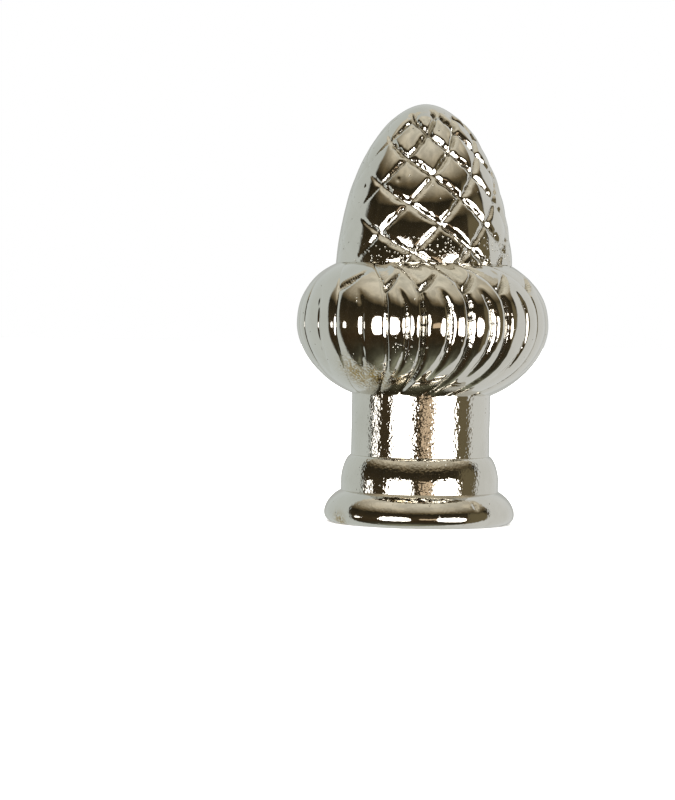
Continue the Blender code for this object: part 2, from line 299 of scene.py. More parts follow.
def nutCurve(count):
    # rows from the tip to the crease, evenly spaced along the outline
    spread = 1 - (1 - np.linspace(0, 1, grid["nutSamples"])) ** 3
    radii = form["nutRadius"] * (1 - spread ** form["nutShoulder"]) ** form["nutTip"]
    heights = crease + nutHeight * spread
    along = np.concatenate(([0], np.cumsum(np.hypot(np.diff(radii), np.diff(heights)))))
    shares = 1 - np.arange(count + 1) / count
    rows = []
    for share in shares[1:]:
        start = max(share - grid["slopeReach"], 0)
        near = np.array((start, start + 2 * grid["slopeReach"])) * along[-1]
        r0, r1 = np.interp(near, along, radii)
        z0, z1 = np.interp(near, along, heights)
        length = np.hypot(r1 - r0, z1 - z0)
        radius = np.interp(share * along[-1], along, radii)
        height = np.interp(share * along[-1], along, heights)
        rows.append((radius, height, (z1 - z0) / length, (r0 - r1) / length))
    return rows, shares[1:], along[-1]


def outlineNormals(points):
    # outward normals of an outline that runs down its outer side
    points = np.array(points)
    ahead = np.vstack((points[1:], points[-1:]))
    behind = np.vstack((points[:1], points[:-1]))
    run = ahead - behind
    length = np.hypot(run[:, 0], run[:, 1])
    return [(r, z, -dz / s, dr / s) for (r, z), (dr, dz), s in zip(points, run, length)]


def stemCurves():
    # neck, collar and foot
    neck = [(form["neckRadius"], z) for z in np.linspace(cupBottom, collarTop, grid["neckRows"] + 1)][1:]
    shoulder = form["collarHeight"] - form["collarSide"]
    step = form["collarRadius"] - form["neckRadius"]
    collar = []
    for angle in np.linspace(0, pi / 2, grid["shoulderRows"] + 1)[1:]:
        share = cos(angle)
        radius = form["neckRadius"] + step * swell(share, form["collarFullness"])
        collar.append((radius, footTop + form["collarSide"] + shoulder * share))
    for z in np.linspace(form["collarSide"], 0, grid["sideRows"] + 1)[1:]:
        collar.append((form["collarRadius"], footTop + z))
    core = form["footCore"] * form["collarRadius"]
    upper = form["footHeight"] - form["footWidest"]
    full = fullHeight(core, form["footRadius"], form["collarRadius"], upper, form["footFullness"])
    foot = []
    for angle in np.linspace(0, pi / 2, grid["footRows"] + 1)[1:]:
        rise = upper * cos(angle)
        radius = core + (form["footRadius"] - core) * swell(rise / full, form["footFullness"])
        foot.append((radius, form["footWidest"] + rise))
    for angle in np.linspace(0, pi / 2, grid["edgeRows"] + 1)[1:]:
        radius = form["footRadius"] - form["footEdge"] * (1 - cos(angle))
        foot.append((radius, form["footWidest"] * (1 - sin(angle))))
    return outlineNormals(neck), outlineNormals(collar), outlineNormals(foot)


# Where the leaves and the lattice lines run

def waistShare(height):
    if height > cupWidest:
        return (height - cupWidest) / form["cupUpper"]
    return (cupWidest - height) / form["cupLower"]


def leafEdge(leaf, height):
    # bearing in degrees of the groove on the left of a leaf
    strays = leaves["strays"]
    count = len(strays)
    power = leaves["upperPower"] if height > cupWidest else leaves["lowerPower"]
    return 360 * leaf / count + strays[leaf % count] - leaves["sweep"] * waistShare(height) ** power


def leafRib(leaf, height):
    left = leafEdge(leaf, height)
    middle = leaves["ribShare"] * (leafEdge(leaf + 1, height) - left)
    away = waistShare(height)
    bow = min(leaves["ribBow"] * away ** 2, leaves["ribRoom"] * middle)
    return left + middle - bow * (1 - smoothStep(*leaves["ribStraightens"], away))


def leafSpread():
    # shares across a leaf, closer together by its edges and its rib
    fine = np.linspace(0, 1, grid["leafSamples"])
    density = 1
    fromEdge = np.minimum(fine, 1 - fine)
    fromRib = abs(fine - leaves["ribShare"])
    for away, (more, near) in ((fromEdge, grid["edgeCrowding"]), (fromRib, grid["ribCrowding"])):
        density = density + more * np.exp(-(away / near) ** 2)
    total = np.concatenate(([0], np.cumsum(density[1:] + density[:-1])))
    wanted = np.arange(grid["leafColumns"]) / grid["leafColumns"] * total[-1]
    return np.interp(wanted, total, fine)


def latticePhase(groove, bearing, share):
    # counts grooves: a whole number on a groove, halves in the middle of the pads
    wave = np.radians(lattice["wandersRound"] * bearing - groove["phase"])
    past = bearing - groove["start"] - groove["turn"] * share - groove["wander"] * np.cos(wave)
    return past * groove["grooves"] / 360


def latticeSpan(groove, bearing, radius, length):
    # distance in millimetres across one spacing of the grooves, square to them
    wave = np.radians(lattice["wandersRound"] * bearing - groove["phase"])
    around = 1 + np.radians(groove["wander"]) * lattice["wandersRound"] * np.sin(wave)
    around = around / max(radius, lattice["smallestRadius"])
    along = np.radians(groove["turn"]) / length
    return tau / groove["grooves"] / np.hypot(around, along)


def panelPart(bearing, left, rib, whole):
    # 0 at a groove, 1 at the rib, 2 at the next groove
    before = (bearing - left[whole]) / (rib[whole] - left[whole])
    after = (bearing - rib[whole]) / (left[whole + 1] - rib[whole])
    return np.where(before < 1, before, 1 + after)


def turnedBearing(bearing):
    return (bearing + 180) % 360 - 180


def latticeWear(bearing):
    middle, whole, end = buffing["lattice"]
    return smoothStep(end, whole, abs(turnedBearing(bearing) - middle))


def leafKept(bearing):
    # how much polishing has left of the leaf grooves, and of the leaf tips
    turned = turnedBearing(bearing)
    front = smoothStep(*buffing["leafLeft"], turned) * smoothStep(*buffing["leafRight"], turned)
    back = buffing["backKept"] * smoothStep(*buffing["leafBack"], abs(turned))
    return np.maximum(front, back), np.maximum(smoothStep(*buffing["tipLeft"], turned), back)


def spotField(places, spots):
    # how strongly any of some round spots marks each place
    total = np.zeros(len(places))
    for bearing, height, size, depth in spots:
        angle = radians(bearing)
        aim = np.array((sin(angle), -cos(angle)))
        away = places[:, :2] - np.outer(places[:, :2] @ aim, aim)
        near = np.hypot(np.hypot(away[:, 0], away[:, 1]), places[:, 2] - height) / size
        facing = places[:, :2] @ aim > 0
        total = np.maximum(total, depth * np.exp(-near ** 2) * facing)
    return total


def cupBearings(phases, height):
    # grooves and ribs of the leaves at a height, and where each column of points is
    leafCount = len(leaves["strays"])
    left = np.array([leafEdge(leaf, height) for leaf in range(leafCount + 1)])
    rib = np.array([leafRib(leaf, height) for leaf in range(leafCount)])
    whole = np.floor(phases).astype(int)
    share = phases - whole
    return left, rib, whole, share, left[whole] + share * (left[whole + 1] - left[whole])


def rowOf(outline, bearing, **fields):
    # one row of points: its place and normal, and what the carving reads there
    radius, height, out, up = outline
    return dict(radius=radius, height=height, out=out, up=up, bearing=bearing, **fields)


def layOutNut(phases, settled):
    atCrease = cupBearings(phases, crease)[-1]
    outlines, shares, length = nutCurve(grid["nutRows"])
    rows = []
    for outline, share in zip(outlines, shares):
        blend = smoothStep(0.0, grid["settling"], share)
        bearing = atCrease + blend * (settled - atCrease)
        fields = {"nutShare": share}
        for side in ("left", "right"):
            fields[side + "Line"] = latticePhase(lattice[side], bearing, share)
            fields[side + "Span"] = latticeSpan(lattice[side], bearing, outline[0], length) * mm
        rows.append(rowOf(outline, bearing, onNut=1.0, **fields))
    return rows


def layOutCup(phases):
    outlines = cupCurve(cupAngles(grid["cupRows"]))
    rows = []
    for before, outline in zip(outlines, outlines[1:]):
        radius, height, out = outline[:3]
        left, rib, whole, share, bearing = cupBearings(phases, height)
        rise = np.hypot(radius - before[0], height - before[1])
        lean = (leafEdge(0, before[1]) - leafEdge(0, height)) * tau / 360 * radius / rise
        across = 1 / np.hypot(1, lean)
        width = np.radians(left[whole + 1] - left[whole]) * radius
        ribGap = np.radians(abs(bearing - rib[whole])) * radius * across
        away = waistShare(height)
        fade = leaves["ribHead"] if height > cupWidest else leaves["ribFoot"]
        tip = crease - leaves["tipDrop"] - leaves["tipRise"] * (1 - share)
        tipGap = (height - tip) / out / np.hypot(1, leaves["tipRise"] / out / width)
        fields = {
            "leafGap": np.minimum(share, 1 - share) * width * across * mm,
            "leafShare": share,
            "panelShare": panelPart(bearing, left, rib, whole),
            "ribGap": ribGap * mm,
            "ribStrength": smoothStep(*fade, away),
            "boat": max(1 - (away / fade[0]) ** leaves["boatPower"], 0),
            "waist": 1 - away ** 2,
            "tipGap": tipGap * mm if height > cupWidest else -mm,
            "tipStrength": smoothStep(*leaves["tipEnds"], share) * leafKept(bearing)[1],
            "aboveTips": smoothStep(*leaves["grooveHead"], crease - height),
        }
        rows.append(rowOf(outline, bearing, onCup=1.0, **fields))
    return rows


def layOutStem(phases, settled):
    atNeck = cupBearings(phases, cupBottom)[-1]
    curves = stemCurves()
    index = 0
    rows = []
    for grain, curve in zip(stemGrain.values(), curves):
        for outline in curve:
            blend = smoothStep(0, len(curves[0]), index)
            rows.append(rowOf(outline, atNeck + blend * (settled - atNeck), onStem=grain))
            index += 1
    return rows


def layOutRows():
    # every row from the tip down to the underside's rim, and the bearings of its last columns
    leafCount = len(leaves["strays"])
    shares = leafSpread()
    phases = np.concatenate([leaf + shares for leaf in range(leafCount)])
    even = 360 * np.arange(len(phases)) / len(phases)
    settled = even + 0.5 * (leafEdge(0, crease) + leafEdge(leafCount, crease) - 360)
    return layOutNut(phases, settled) + layOutCup(phases) + layOutStem(phases, settled), settled


fieldNames = (
    "onNut", "nutShare", "leftLine", "leftSpan", "rightLine", "rightSpan", "latticeWorn",
    "onCup", "leafGap", "leafShare", "panelShare", "ribGap", "ribStrength", "boat", "waist", "aboveTips",
    "tipGap", "tipStrength", "leafWorn", "onStem", "onBore", "threadLine", "dent", "stain", "pitted",
)
skinFields = ("stain", "pitted")    # the material reads these too


def boreRows():
    # chamfer, threaded wall and drill point, from the mouth up
    wide = form["boreRadius"] + form["boreChamfer"]
    cone = form["boreRadius"] / tan(radians(form["drillAngle"]))
    points = [(wide, 0.0)]
    heights = np.linspace(form["boreChamfer"], form["boreDepth"], grid["boreRows"])
    points += [(form["boreRadius"], z) for z in heights]
    for row in range(1, grid["drillRows"]):
        share = 1 - row / grid["drillRows"]
        points.append((form["boreRadius"] * share, form["boreDepth"] + cone * (1 - share)))
    return points, form["boreDepth"] + cone


thread = {
    "pitch": 25.4 / 27,
    "height": 0.29,
    "runOut": (0.6, 1.4),      # fades in from the mouth
    "lastTurn": (11.2, 10.2),  # fades out below the drill point
}


def ringOf(bearing):
    angle = np.radians(bearing)
    return np.column_stack((np.sin(angle), -np.cos(angle)))


def addPoints(blank, places, normals, **fields):
    # points of the blank with what the carving reads there, 0 where a field isn't given
    blank["places"].append(places)
    blank["normals"].append(normals)
    for name in fieldNames:
        value = fields.get(name, 0.0)
        blank["fields"][name].append(np.full(len(places), value) if np.isscalar(value) else value)


def joinRings(blank, start, rings, sides):
    # faces between rings of points that follow each other
    for ring in range(rings - 1):
        here = start + ring * sides
        onward = here + sides
        for side in range(sides):
            right = (side + 1) % sides
            blank["faces"].append((here + side, onward + side, onward + right, here + right))


def addSkin(blank, rows, columns):
    # the outside of the finial from the tip down to the rim of its underside
    for row in rows:
        bearing = row["bearing"]
        ring = ringOf(bearing)
        places = np.column_stack((ring * row["radius"], np.full(columns, row["height"])))
        normals = np.column_stack((ring * row["out"], np.full(columns, row["up"])))
        pitted = spotField(places, pits)
        wornLattice = latticeWear(bearing)
        if "nutShare" in row:
            low = smoothStep(*creasePits, row["nutShare"]) * (1 - creasePitsWorn * wornLattice)
            pitted = np.maximum(pitted, low)
        addPoints(blank, places, normals, latticeWorn=wornLattice, leafWorn=1 - leafKept(bearing)[0],
                  dent=spotField(places, dents), stain=spotField(places, stains), pitted=pitted, **row)
    joinRings(blank, 0, len(rows), columns)
    tip = columns * len(rows)
    blank["faces"] += [(tip, column, (column + 1) % columns) for column in range(columns)]
    addPoints(blank, np.array([(0, 0, crease + nutHeight)]), np.array([(0, 0, 1)]), onNut=1.0, nutShare=1.0)
    return tip + 1


def addUnderside(blank, rim, columns, mouth, sides):
    # flat ring between the foot's last points and the mouth of the socket
    each = columns // sides
    middle = each // 2
    for side in range(sides):
        onward = (side + 1) % sides
        outer = [rim + (side * each + step) % columns for step in range(each + 1)]
        for step in range(each):
            hub = mouth + (side if step < middle else onward)
            blank["faces"].append((outer[step], hub, outer[step + 1]))
        blank["faces"].append((outer[middle], mouth + side, mouth + onward))


def addBore(blank, points, apex, mouth, bearings):
    # the inside of the socket, from its mouth to the drill's point
    ring = ringOf(bearings)
    sides = len(bearings)
    for radius, height in points:
        places = np.column_stack((ring * radius, np.full(sides, height)))
        inside = smoothStep(*thread["runOut"], height) * smoothStep(*thread["lastTurn"], height)
        addPoints(blank, places, np.column_stack((-ring, np.zeros(sides))), onBore=float(inside),
                  threadLine=height / thread["pitch"] - bearings / 360)
    joinRings(blank, mouth, len(points), sides)
    last = mouth + (len(points) - 1) * sides
    top = last + sides
    blank["faces"] += [(last + side, top, last + (side + 1) % sides) for side in range(sides)]
    addPoints(blank, np.array([(0, 0, apex)]), np.array([(0, 0, -1)]))


def blankMesh():
    # the plain turned form, with every field that the carving reads
    blank = {"places": [], "normals": [], "faces": [], "fields": {name: [] for name in fieldNames}}
    rows, bearings = layOutRows()
    points, apex = boreRows()
    columns = len(bearings)
    sides = grid["boreColumns"]
    mouth = addSkin(blank, rows, columns)
    addUnderside(blank, columns * (len(rows) - 1), columns, mouth, sides)
    addBore(blank, points, apex, mouth, bearings[::columns // sides])

    mesh = bpy.data.meshes.new("finialBlank")
    mesh.from_pydata(np.vstack(blank["places"]) * mm, [], blank["faces"])
    for name, values in blank["fields"].items():
        layer = mesh.attributes.new(name, "FLOAT", "POINT")
        layer.data.foreach_set("value", np.concatenate(values).astype(np.float32))
    layer = mesh.attributes.new("outward", "FLOAT_VECTOR", "POINT")
    layer.data.foreach_set("vector", np.vstack(blank["normals"]).astype(np.float32).ravel())
    layer = mesh.attributes.new("inBore", "BOOLEAN", "FACE")
    layer.data.foreach_set("value", np.array([min(face) >= mouth for face in blank["faces"]]))
    mesh.shade_smooth()
    rings = np.concatenate((np.repeat(np.arange(len(rows)), columns), [-1],
                            np.repeat(len(rows) + np.arange(len(points)), sides), [-1]))
    sharpen(mesh, rings, len(rows))
    return mesh


def sharpen(mesh, rings, boreStart):
    # crisp edges where the nut, cup, neck, collar and foot meet, and round the socket's mouth
    collarRows = grid["shoulderRows"] + grid["sideRows"]
    footRows = grid["footRows"] + grid["edgeRows"]
    parts = (grid["nutRows"], grid["cupRows"], grid["neckRows"], collarRows, footRows)
    crisp = list(np.cumsum(parts) - 1)
    crisp += [boreStart, boreStart + 1]
    ends = np.empty(2 * len(mesh.edges), np.int32)
    mesh.edges.foreach_get("vertices", ends)
    first, second = rings[ends].reshape(-1, 2).T
    layer = mesh.attributes.new("sharp_edge", "BOOLEAN", "EDGE")
    layer.data.foreach_set("value", (first == second) & np.isin(first, crisp))


# Carving of the lattice, the leaves, the thread and the marks of the casting

carving = {
    "Left Line Width": 0.95 * mm,
    "Left Line Depth": 0.33 * mm,
    "Right Line Width": 0.74 * mm,
    "Right Line Depth": 0.28 * mm,
    "Top Deeper": 1.7,          # times as deep towards the nut's tip
    "Pad Crown": 0.14 * mm,
    "Lattice Fade": 0.77,
    "Lattice End": 0.85,
    "Leaf Width": 1.08 * mm,
    "Leaf Depth": 0.42 * mm,
    "Leaf Crown": 0.10 * mm,
    "Panel Crown": 0.11 * mm,
    "Rib Width": 1.0 * mm,
    "Rib Depth": 0.34 * mm,
    "Tip Width": 0.86 * mm,
    "Tip Depth": 0.72 * mm,
    "Tip Sink": 0.15 * mm,
    "Buffing": 0.75,
    "Nut Flare": 0.15 * mm,     # where the nut meets the cup
    "Flare Share": 0.17,        # of the nut's outline
    "Flare Power": 1.6,
    "Dent Depth": 0.16 * mm,
    "Thread Height": thread["height"] * mm,
    "Wobble Size": 0.8 * mm,    # uneven cutting along the grooves
    "Wobble": 0.75,
    "Leaf Wobble": 0.3,         # share of it on the cup
    "Wave Size": 2.4 * mm,
    "Wave Height": 0.022 * mm,
    "Grain Size": 0.5 * mm,
    "Grain Height": 0.008 * mm,
    "Seed": 7,
}
topDeepens = (0.35, 0.7)        # shares of the nut's outline between which its grooves deepen

# How uneven the casting is, and what the material takes from the carving
marks = {
    "noiseRoughness": 0.55,
    "grainOffStem": 0.4,         # share of the grain that is left off the stem
    # dents count this many times deeper, so they get ragged and take the painted shade of deep lows
    "dentAsLow": 2.5,            # times its depth
    "ragged": (0.05, 0.4),       # how low a groove is where it starts to be ragged, and where it wholly is
    "raggedGrooves": 0.75,
    "raggedPits": 0.35,
}


def grooveGroup():
    # depth of a V-shaped groove with soft shoulders, or of a round one, at a distance from its line
    tree = bpy.data.node_groups.new("Groove Cut", "GeometryNodeTree")
    inputs = {"Gap": 0.0, "Width": 0.5 * mm, "Depth": 0.3 * mm, "Softness": 1.2, "Roundness": 0.0}
    addSockets(tree, inputs, {"Cut": "Float"})
    given = addNode(tree, "NodeGroupInput").outputs
    share = maths(tree, "DIVIDE", given["Gap"], times(tree, given["Width"], 0.5))
    inside = oneMinus(tree, share, clamp=True)
    sharp = maths(tree, "POWER", inside, given["Softness"])
    extra = maths(tree, "SUBTRACT", ease(tree, inside, 0.0, 1.0), sharp)
    shaped = plus(tree, sharp, times(tree, extra, given["Roundness"]))
    addNode(tree, "NodeGroupOutput", {"Cut": times(tree, shaped, given["Depth"], -1.0)})
    return tree


def field(tree, name, kind="FLOAT"):
    made = addNode(tree, "GeometryNodeInputNamedAttribute", {"Name": name}, data_type=kind)
    return made.outputs["Attribute"]


def storeField(tree, geometry, name, value):
    inputs = {"Geometry": geometry, "Name": name, "Value": value}
    made = addNode(tree, "GeometryNodeStoreNamedAttribute", inputs, data_type="FLOAT", domain="POINT")
    return made.outputs["Geometry"]


def cut(tree, group, gap, width, depth, roundness=0.0):
    inputs = {"Gap": gap, "Width": width, "Depth": depth, "Roundness": roundness}
    return addNode(tree, "GeometryNodeGroup", inputs, node_tree=group).outputs["Cut"]


def crownOf(tree, value):
    # 0 at the edges and 1 in the middle of a share that runs from one groove to the next
    nearer = maths(tree, "PINGPONG", value, 0.5)
    return times(tree, nearer, oneMinus(tree, nearer), 4.0)


def noiseHeight(tree, size, height, seed, detail):
    inputs = {"Scale": maths(tree, "DIVIDE", 1.0, size), "W": seed, "Detail": detail}
    inputs["Roughness"] = marks["noiseRoughness"]
    noise = addNode(tree, "ShaderNodeTexNoise", inputs, noise_dimensions="4D").outputs["Fac"]
    return times(tree, maths(tree, "SUBTRACT", noise, 0.5), height, 2.0)


def latticeRelief(tree, given, groove, wobble):
    # crossed grooves between crowned pads
    share = field(tree, "nutShare")
    unworn = oneMinus(tree, times(tree, field(tree, "latticeWorn"), given["Buffing"]))
    kept = times(tree, unworn, plus(tree, wobble, 1.0))
    deeper = times(tree, kept, ease(tree, share, *topDeepens, 1.0, given["Top Deeper"]))
    cuts = []
    crowns = []
    for side in ("left", "right"):
        line = field(tree, side + "Line")
        gap = times(tree, maths(tree, "PINGPONG", line, 0.5), field(tree, side + "Span"))
        width = times(tree, given[side.title() + " Line Width"], kept)
        depth = times(tree, given[side.title() + " Line Depth"], deeper)
        cuts.append(cut(tree, groove, gap, width, depth))
        crowns.append(crownOf(tree, line))
    pads = plus(tree, maths(tree, "MINIMUM", *cuts), times(tree, *crowns, given["Pad Crown"], unworn))
    fade = ease(tree, share, given["Lattice Fade"], given["Lattice End"], 1.0, 0.0)
    return times(tree, pads, fade, field(tree, "onNut"))


def flareRelief(tree, given):
    # the nut widens where it meets the cup
    above = maths(tree, "DIVIDE", field(tree, "nutShare"), given["Flare Share"])
    spread = maths(tree, "POWER", oneMinus(tree, above, clamp=True), given["Flare Power"])
    return times(tree, spread, given["Nut Flare"], field(tree, "onNut"))


def leafRelief(tree, given, groove, wobble):
    # grooves between the leaves, their ribs and their overlapping tips
    unworn = oneMinus(tree, times(tree, field(tree, "leafWorn"), given["Buffing"]))
    kept = times(tree, unworn, plus(tree, times(tree, wobble, given["Leaf Wobble"]), 1.0))
    head = ease(tree, field(tree, "aboveTips"), 0.0, 1.0, 1.0, leaves["headDepth"])
    waist = ease(tree, field(tree, "waist"), 0.0, 1.0, leaves["endDepth"], 1.0)
    width = times(tree, given["Leaf Width"], kept)
    depth = times(tree, given["Leaf Depth"], kept, head, waist)
    leafCut = cut(tree, groove, field(tree, "leafGap"), width, depth, 1.0)
    width = times(tree, given["Rib Width"], kept)
    depth = times(tree, given["Rib Depth"], kept, field(tree, "boat"))
    ribCut = cut(tree, groove, field(tree, "ribGap"), width, depth, 1.0)

    tipGap = field(tree, "tipGap")
    tipStrength = field(tree, "tipStrength")
    leafShare = field(tree, "leafShare")
    narrow = ease(tree, leafShare, *leaves["tipNarrows"], 1.0, leaves["tipNarrow"])
    width = times(tree, given["Tip Width"], narrow)
    tipCut = cut(tree, groove, maths(tree, "ABSOLUTE", tipGap), width, given["Tip Depth"])
    tipCut = times(tree, tipCut, tipStrength)
    sunk = times(tree, ease(tree, tipGap, 0.0, given["Tip Width"]), tipStrength, given["Tip Sink"], -1.0)

    wholeCrown = times(tree, crownOf(tree, leafShare), given["Leaf Crown"])
    panelCrown = times(tree, crownOf(tree, field(tree, "panelShare")), given["Panel Crown"])
    extra = times(tree, maths(tree, "SUBTRACT", panelCrown, wholeCrown), field(tree, "ribStrength"))
    cuts = maths(tree, "MINIMUM", maths(tree, "MINIMUM", leafCut, ribCut), tipCut)
    return times(tree, plus(tree, cuts, sunk, wholeCrown, extra), field(tree, "onCup"))


def threadRelief(tree, given):
    turn = maths(tree, "PINGPONG", field(tree, "threadLine"), 0.5)
    ridge = plus(tree, times(tree, turn, 4.0), -1.0)
    return times(tree, ridge, given["Thread Height"], field(tree, "onBore"))


def castRelief(tree, given):
    # slow waves and a fine grain, stronger on the stem
    onStem = field(tree, "onStem")
    waves = noiseHeight(tree, given["Wave Size"], given["Wave Height"], given["Seed"], 1.0)
    grain = noiseHeight(tree, given["Grain Size"], given["Grain Height"], plus(tree, given["Seed"], 3.0), 1.5)
    calm = marks["grainOffStem"]
    grain = times(tree, grain, plus(tree, times(tree, onStem, 1 - calm), calm))
    outside = plus(tree, field(tree, "onNut"), field(tree, "onCup"), onStem)
    return times(tree, plus(tree, waves, grain), outside)


def markSkin(tree, geometry, relief, dented, deepest):
    # stores how low and how ragged each place is
    # dents count deeper so that the material paints shade into them
    low = larger(tree, times(tree, relief, -1.0), times(tree, dented, marks["dentAsLow"]))
    low = larger(tree, maths(tree, "DIVIDE", low, deepest), 0.0)
    ragged = ease(tree, low, *marks["ragged"], 0.0, marks["raggedGrooves"])
    ragged = larger(tree, field(tree, "onStem"), ragged)
    ragged = larger(tree, ragged, times(tree, field(tree, "pitted"), marks["raggedPits"]))
    return storeField(tree, storeField(tree, geometry, "recess", low), "ragged", ragged)


def carvingTree():
    tree = bpy.data.node_groups.new("Carve Finial", "GeometryNodeTree")
    inputs = {"Geometry": "Geometry", **carving, "Nickel": "Material", "Bore": "Material"}
    addSockets(tree, inputs, {"Geometry": "Geometry"})
    given = addNode(tree, "NodeGroupInput").outputs
    groove = grooveGroup()

    wobble = noiseHeight(tree, given["Wobble Size"], given["Wobble"], plus(tree, given["Seed"], 5.0), 1.0)
    relief = latticeRelief(tree, given, groove, wobble)
    relief = plus(tree, relief, leafRelief(tree, given, groove, wobble))
    dented = times(tree, field(tree, "dent"), given["Dent Depth"])
    total = plus(tree, relief, flareRelief(tree, given), threadRelief(tree, given), castRelief(tree, given))
    total = maths(tree, "SUBTRACT", total, dented)
    inputs = {0: field(tree, "outward", "FLOAT_VECTOR"), "Scale": total}
    offset = addNode(tree, "ShaderNodeVectorMath", inputs, operation="SCALE").outputs[0]
    marked = markSkin(tree, given["Geometry"], relief, dented, given["Left Line Depth"])
    moved = addNode(tree, "GeometryNodeSetPosition", {"Geometry": marked, "Offset": offset})
    real = addNode(tree, "GeometryNodeRealizeInstances", {"Geometry": moved.outputs[0]})
    inputs = {"Geometry": real.outputs[0], "Material": given["Nickel"]}
    skin = addNode(tree, "GeometryNodeSetMaterial", inputs).outputs[0]
    inBore = field(tree, "inBore", "BOOLEAN")
    inputs = {"Geometry": skin, "Selection": inBore, "Material": given["Bore"]}
    inner = addNode(tree, "GeometryNodeSetMaterial", inputs)
    addNode(tree, "NodeGroupOutput", {"Geometry": inner.outputs[0]})
    return tree


def carveFinial(nickel, bore):
    blank = bpy.data.objects.new("acornFinial", blankMesh())
    bpy.context.scene.collection.objects.link(blank)
    modifier = blank.modifiers.new("Carving", "NODES")
    modifier.node_group = carvingTree()
    for item in modifier.node_group.interface.items_tree:
        if item.in_out == "INPUT" and item.name in carving:
            modifier[item.identifier] = carving[item.name]
        elif item.in_out == "INPUT" and item.name in ("Nickel", "Bore"):
            modifier[item.identifier] = nickel if item.name == "Nickel" else bore
    evaluated = blank.evaluated_get(bpy.context.evaluated_depsgraph_get())
    mesh = bpy.data.meshes.new_from_object(evaluated)
    blank.modifiers.clear()
    blank.data = mesh
    for name in (*fieldNames, "outward", "inBore"):
        if name not in skinFields:
            mesh.attributes.remove(mesh.attributes[name])
    print("finial carved:", len(mesh.polygons), "faces")
    return blank


# Finish

nickelFinish = {
    "colour": (0.66, 0.63, 0.56, 1),
    # tarnish, which also paints shade into grooves and dents
    "tarnishAndShadeColour": (0.36, 0.33, 0.26, 1),
    "roughness": 0.05,
    "dullRoughness": 0.20,
    "raggedRoughness": 0.11,
    "stain": (0.36, 0.25, 0.08, 1),
    # near-black painted shade for the deepest grooves and dents
    "paintedHollowShade": (0.07, 0.06, 0.04, 1),
    "grainSize": 0.26 * mm,
    "grainBump": (0.02, 0.34),   # on smooth faces, on ragged ones
    "pitSize": 0.26 * mm,
    "pitShare": (0.008, 0.4),    # on clean faces, on pitted ones
    "pitBump": 0.8,
}

boreFinish = {
    "colour": (0.55, 0.47, 0.32, 1),
    # tarnish, which also paints shade into the lows
    "tarnishAndShadeColour": (0.20, 0.16, 0.10, 1),
    "roughness": 0.28,
    "dullRoughness": 0.5,
    "raggedRoughness": 0.3,
    "stain": (0.20, 0.14, 0.08, 1),
    # near-black painted shade for the deepest lows
    "paintedHollowShade": (0.07, 0.05, 0.03, 1),
    "grainSize": 0.3 * mm,
    "grainBump": (0.2, 0.3),
    "pitSize": 0.6 * mm,
    "pitShare": (0.25, 0.25),
    "pitBump": 0.6,
}

# The pattern of a plated casting
skinPattern = {
    "grainRoughness": 0.4,
    "pitBowl": (0.12, 0.42),      # from its floor to its rim, in shares of its size
    "cloudScale": 260.0,
    "cloudRoughness": 0.6,
    "cloud": (0.42, 0.68),
}

# How the marks show: tarnish with painted shade in the lows, near-black painted shade in the deepest hollows,
# and dullness are given as how low a place is where each starts and where it is whole
markShows = {
    # lows darken with tarnish and painted shade, the deepest with near-black painted shade
    "lowTarnishAndShade": (0.55, 1.2),
    "paintedHollowShade": (1.4, 2.0),
    "dull": (0.1, 0.6),
    # strength of the tarnish and painted shade in the lows
    "tarnishAndShadeInLows": 0.7,
    "dirtInPits": 0.8,
    "dirtInCloud": 0.12,
    "stainGrain": (0.32, 0.56),   # the grain breaks the stains up
    "grainDepth": 0.1 * mm,
    "pitDepth": 0.05 * mm,
}


def castGroup():
    # fine grain, scattered pits and cloudy patches of a plated casting
    tree = bpy.data.node_groups.new("Cast Skin", "ShaderNodeTree")
    inputs = {"Vector": "Vector", "Grain Size": 0.3 * mm, "Pit Size": 0.6 * mm, "Pit Share": 0.1}
    addSockets(tree, inputs, {"Grain": "Float", "Pits": "Float", "Cloud": "Float"})
    given = addNode(tree, "NodeGroupInput").outputs
    inputs = {"Vector": given["Vector"], "Scale": maths(tree, "DIVIDE", 1.0, given["Grain Size"]),
              "Detail": 1.0, "Roughness": skinPattern["grainRoughness"]}
    grain = addNode(tree, "ShaderNodeTexNoise", inputs).outputs["Fac"]
    inputs = {"Vector": given["Vector"], "Scale": maths(tree, "DIVIDE", 1.0, given["Pit Size"])}
    cells = addNode(tree, "ShaderNodeTexVoronoi", inputs).outputs
    chance = addNode(tree, "ShaderNodeSeparateColor", {"Color": cells["Color"]}).outputs[0]
    chosen = maths(tree, "LESS_THAN", chance, given["Pit Share"])
    bowls = times(tree, ease(tree, cells["Distance"], *skinPattern["pitBowl"], 1.0, 0.0), chosen)
    inputs = {"Vector": given["Vector"], "Scale": skinPattern["cloudScale"],
              "Detail": 4.0, "Roughness": skinPattern["cloudRoughness"]}
    cloud = addNode(tree, "ShaderNodeTexNoise", inputs).outputs["Fac"]
    cloud = ease(tree, cloud, *skinPattern["cloud"])
    addNode(tree, "NodeGroupOutput", {"Grain": grain, "Pits": bowls, "Cloud": cloud})
    return tree


def skinMark(tree, name):
    return addNode(tree, "ShaderNodeAttribute", attribute_name=name).outputs["Fac"]


